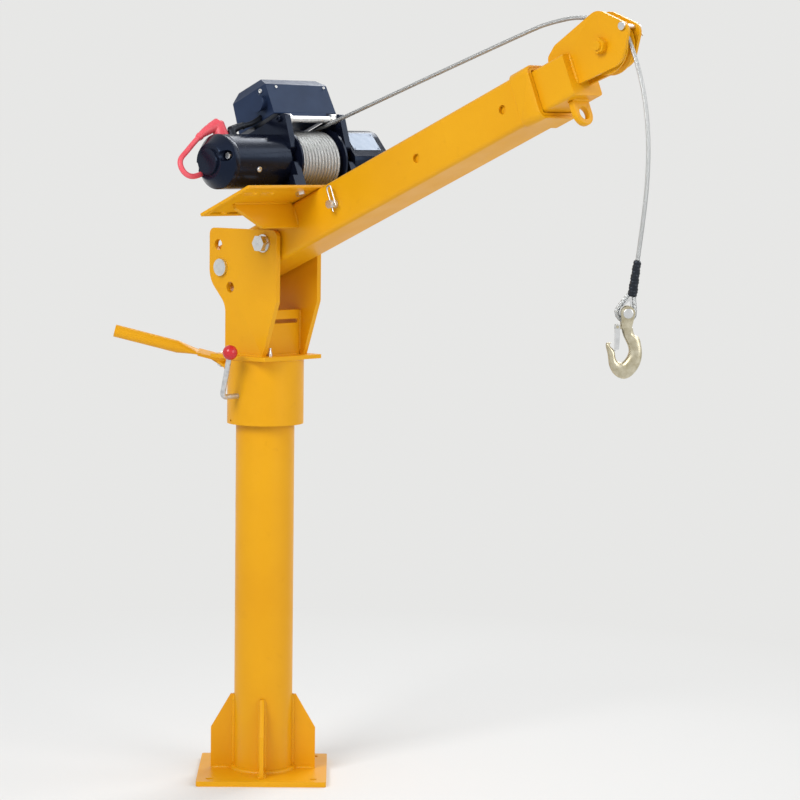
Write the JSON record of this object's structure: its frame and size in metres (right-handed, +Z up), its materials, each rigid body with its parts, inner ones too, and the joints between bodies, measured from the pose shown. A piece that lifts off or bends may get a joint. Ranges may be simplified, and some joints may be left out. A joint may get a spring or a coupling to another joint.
{
  "type": "davit crane",
  "caption": "Bolt-down slewing davit crane: column, clevis mast, telescopic luffing boom with electric winch, head sheave and hook.",
  "frame": {"origin": "centre of the base plate's bolt pattern on its underside", "axes": "+Z up the column, +X and +Y square to the base plate's edges"},
  "size_m": [0.7574, 0.6195, 1.146],
  "materials": {
    "yellow_paint": "semi-gloss enamel",
    "zinc": "zinc plated",
    "galvanised": "galvanised",
    "knob_red": "moulded ball",
    "winch_black": "gloss black",
    "box_black": "moulded",
    "plate_silver": "bare, satin",
    "rotor_steel": "machined",
    "rope_steel": "laid wire",
    "hook_zinc": "yellow zinc",
    "bright_steel": "bright",
    "sleeve_black": "shrink sleeve",
    "lead_red": "insulated lead",
    "bronze": "sintered",
    "pad_black": "low-friction plastic"
  },
  "bodies": {
    "base": {"base_plate": "yellow_paint", "base_gussets": "yellow_paint", "column_tube": "yellow_paint", "column_cap": "yellow_paint", "thrust_washer": "bronze"},
    "mast": {"collar_tube": "yellow_paint", "collar_bushes": "bronze", "top_flange": "yellow_paint", "grease_nipple": "zinc", "side_plates": "yellow_paint", "front_web": "yellow_paint", "pivot_bolt": "zinc", "pivot_washers": "zinc", "handle_lug": "yellow_paint"},
    "lock_near": {"lock_pin_near": "zinc"},
    "lock_far": {"lock_pin_far": "zinc"},
    "leaf": {"handle_leaf": "yellow_paint", "handle_bolt": "zinc"},
    "handle": {"turn_handle": "yellow_paint"},
    "clamp": {"clamp_screw": "galvanised", "clamp_knob": "knob_red"},
    "boom": {"boom_tube": "yellow_paint", "pivot_bush": "bronze", "end_band": "yellow_paint", "mouth_pads": "pad_black", "boom_pin": "zinc", "winch_plate": "yellow_paint", "plate_gussets": "yellow_paint", "drum_supports": "winch_black", "tie_bars": "zinc", "motor_can": "winch_black", "motor_end_cap": "winch_black", "winch_bolts": "zinc", "gear_housing": "winch_black", "data_plate": "plate_silver", "control_box": "box_black", "box_tray": "box_black", "remote_socket": "box_black", "red_lead": "lead_red", "black_lead": "sleeve_black", "rope_span": "rope_steel"},
    "clip": {"pin_clip": "zinc"},
    "armature": {"motor_armature": "rotor_steel"},
    "clutch": {"clutch_lever": "winch_black"},
    "drum_set": {"drum": "winch_black", "planet_gears": "rotor_steel", "rope_winding": "rope_steel"},
    "extension": {"inner_tube": "yellow_paint", "tail_pads": "pad_black", "head_cheeks": "yellow_paint", "sheave_axle": "yellow_paint", "keeper_pin": "zinc", "eye_lug": "yellow_paint"},
    "sheave_wheel": {"sheave": "yellow_paint"},
    "fall": {"rope_fall": "rope_steel"},
    "rope_end": {"rope_sleeve": "sleeve_black", "rope_eye": "rope_steel", "thimble": "bright_steel"},
    "hook_body": {"hook": "hook_zinc"},
    "latch_plate": {"latch": "bright_steel"}
  },
  "joints": [
    {"name": "slew", "type": "hinge", "parent": "base", "child": "mast", "pos_m": [0, 0, 0.6], "axis": [0, 0, 1], "continuous": true},
    {"name": "boom_luff", "type": "hinge", "parent": "mast", "child": "boom", "pos_m": [0.03076, -0.03076, 0.8155], "axis": [-0.7071, -0.7071, 0], "range_deg": [-86, 20], "deforming": ["rope_fall"]},
    {"name": "boom_extend", "type": "slide", "parent": "boom", "child": "extension", "axis": [0.6509, -0.6509, 0.3907], "range_m": [0, 0.351], "deforming": ["rope_span"]},
    {"name": "fall_swing", "type": "hinge", "parent": "extension", "child": "fall", "pos_m": [0.46776, -0.46776, 1.09988], "axis": [-0.7071, -0.7071, 0], "range_deg": [-20, 86], "deforming": ["rope_fall"]},
    {"name": "drum_spin", "type": "hinge", "parent": "boom", "child": "drum_set", "pos_m": [0.05575, -0.05575, 0.93697], "axis": [0.7071, 0.7071, 0], "range_deg": [-266, 799], "deforming": ["rope_winding"]},
    {"name": "armature_spin", "type": "hinge", "parent": "boom", "child": "armature", "pos_m": [0.05575, -0.05575, 0.93697], "axis": [0.7071, 0.7071, 0], "range_deg": [-1464, 4396]},
    {"name": "sheave_spin", "type": "hinge", "parent": "extension", "child": "sheave_wheel", "pos_m": [0.46776, -0.46776, 1.09988], "axis": [0.7071, 0.7071, 0], "range_deg": [-327, 982]},
    {"name": "hook_hoist", "type": "slide", "parent": "fall", "child": "rope_end", "axis": [0, 0, 1], "range_m": [-0.6, 0.2], "deforming": ["rope_fall"]},
    {"name": "hook_swing", "type": "hinge", "parent": "rope_end", "child": "hook_body", "pos_m": [0.4971, -0.4971, 0.74468], "axis": [0, 1, 0], "range_deg": [-60, 60]},
    {"name": "latch_open", "type": "hinge", "parent": "hook_body", "child": "latch_plate", "pos_m": [0.4836, -0.4971, 0.72618], "axis": [0, -1, 0], "range_deg": [0, 20], "stiffness_Nm_per_rad": 0.01, "springref_deg": -11.46},
    {"name": "lock_pin_near_pull", "type": "slide", "parent": "mast", "child": "lock_near", "axis": [-0.7071, -0.7071, 0], "range_m": [0, 0.04]},
    {"name": "lock_pin_far_pull", "type": "slide", "parent": "mast", "child": "lock_far", "axis": [0.7071, 0.7071, 0], "range_m": [0, 0.04]},
    {"name": "handle_fold", "type": "hinge", "parent": "mast", "child": "leaf", "pos_m": [-0.05303, 0.05303, 0.622], "axis": [-0.7071, -0.7071, 0], "range_deg": [0, 105]},
    {"name": "handle_swivel", "type": "hinge", "parent": "leaf", "child": "handle", "pos_m": [-0.06741, 0.06741, 0.63046], "axis": [0.2418, -0.2418, 0.9397], "range_deg": [-90, 45]},
    {"name": "clamp_turn", "type": "hinge", "parent": "mast", "child": "clamp", "pos_m": [-0.04243, -0.04243, 0.585], "axis": [0.7071, 0.7071, 0], "range_deg": [-170, 170]},
    {"name": "pin_clip_pull", "type": "slide", "parent": "boom", "child": "clip", "axis": [-0.2763, 0.2763, 0.9205], "range_m": [0, 0.045]},
    {"name": "clutch_turn", "type": "hinge", "parent": "boom", "child": "clutch", "pos_m": [0.05575, -0.05575, 0.93697], "axis": [0.7071, 0.7071, 0], "range_deg": [-90, 0]}
  ],
  "couplings": [
    {"joint": "fall_swing", "follows": "boom_luff", "ratio": -1},
    {"joint": "armature_spin", "follows": "drum_spin", "ratio": 5.5},
    {"joint": "sheave_spin", "follows": "drum_spin", "ratio": 1.2286},
    {"joint": "hook_hoist", "follows": "drum_spin", "m_per_rad": -0.043}
  ]
}
